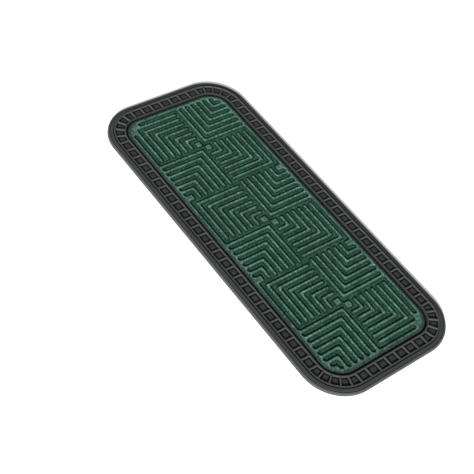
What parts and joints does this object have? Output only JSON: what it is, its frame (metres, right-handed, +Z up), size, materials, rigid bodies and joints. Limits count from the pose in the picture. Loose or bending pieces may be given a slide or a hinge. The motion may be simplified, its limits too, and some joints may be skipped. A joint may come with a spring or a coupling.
{
  "type": "stair tread mat",
  "caption": "Anti-slip stair tread mat: ribbed carpet face with nested L-shaped channels, bonded into a moulded rubber base with a ladder-like border.",
  "frame": {"origin": "centre of the mat's footprint, on its flat underside", "axes": "+X along the mat's length, +Y across its width, +Z up out of the carpet face"},
  "size_m": [0.607, 0.256, 0.0065],
  "materials": {
    "rubber_base": "matt moulded black rubber",
    "carpet_face": "dark green needle-punched fibre"
  },
  "bodies": {
    "root": {"rubber_base": "rubber_base", "carpet_face": "carpet_face"}
  },
  "joints": []
}
